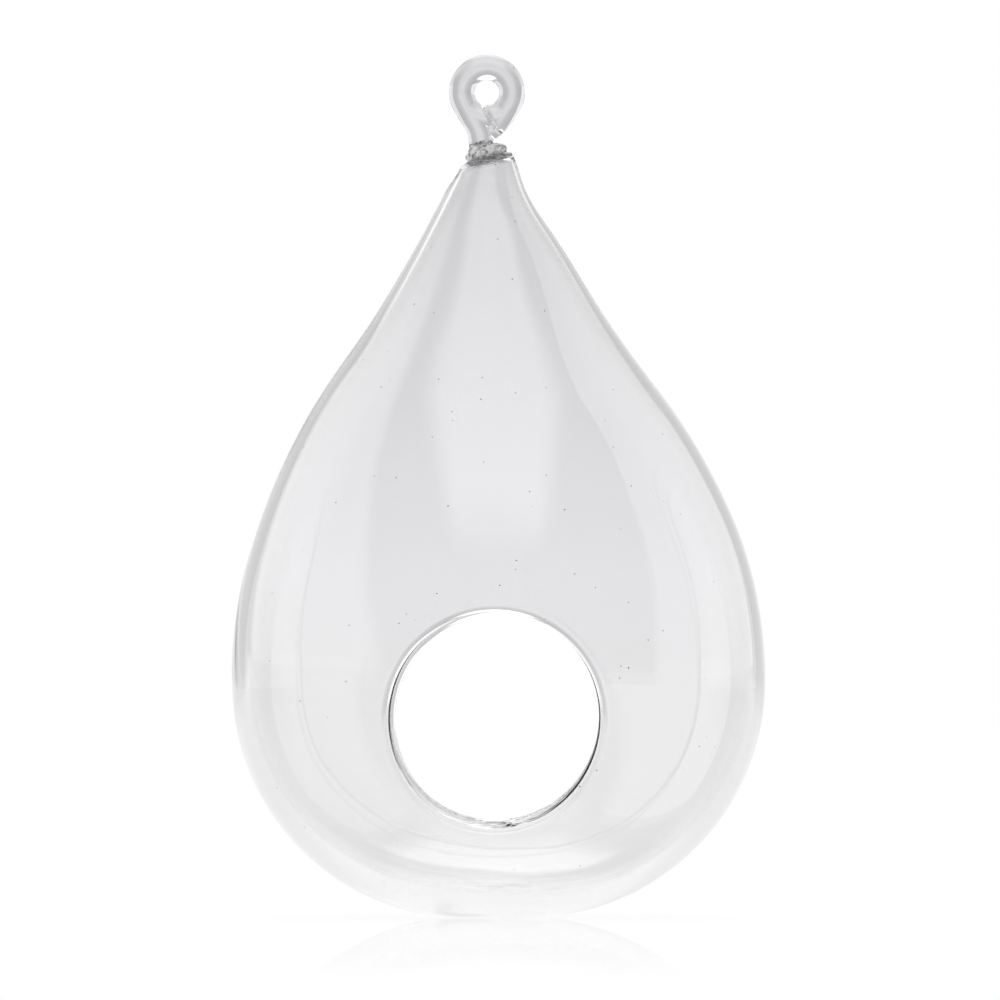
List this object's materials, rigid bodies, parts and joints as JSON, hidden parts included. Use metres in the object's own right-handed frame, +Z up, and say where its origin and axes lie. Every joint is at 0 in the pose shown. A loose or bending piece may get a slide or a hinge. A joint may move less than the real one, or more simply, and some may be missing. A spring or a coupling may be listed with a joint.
{
  "type": "hanging glass vase",
  "caption": "Clear blown-glass drop with a round beaded opening low in its front and back, a small flat to stand on and a fused glass eye to hang it by.",
  "frame": {"origin": "centre of the small flat that the drop stands on", "axes": "+Z up to the hanging eye, the front opening faces -Y, +X to the right of the front view"},
  "size_m": [0.1, 0.0986, 0.1619],
  "materials": {
    "blown_glass": "clear, fire polished",
    "rod_glass": "clear rod with a rough grey joint"
  },
  "bodies": {
    "root": {"vase_body": "blown_glass", "hanging_loop": "rod_glass"}
  },
  "joints": []
}
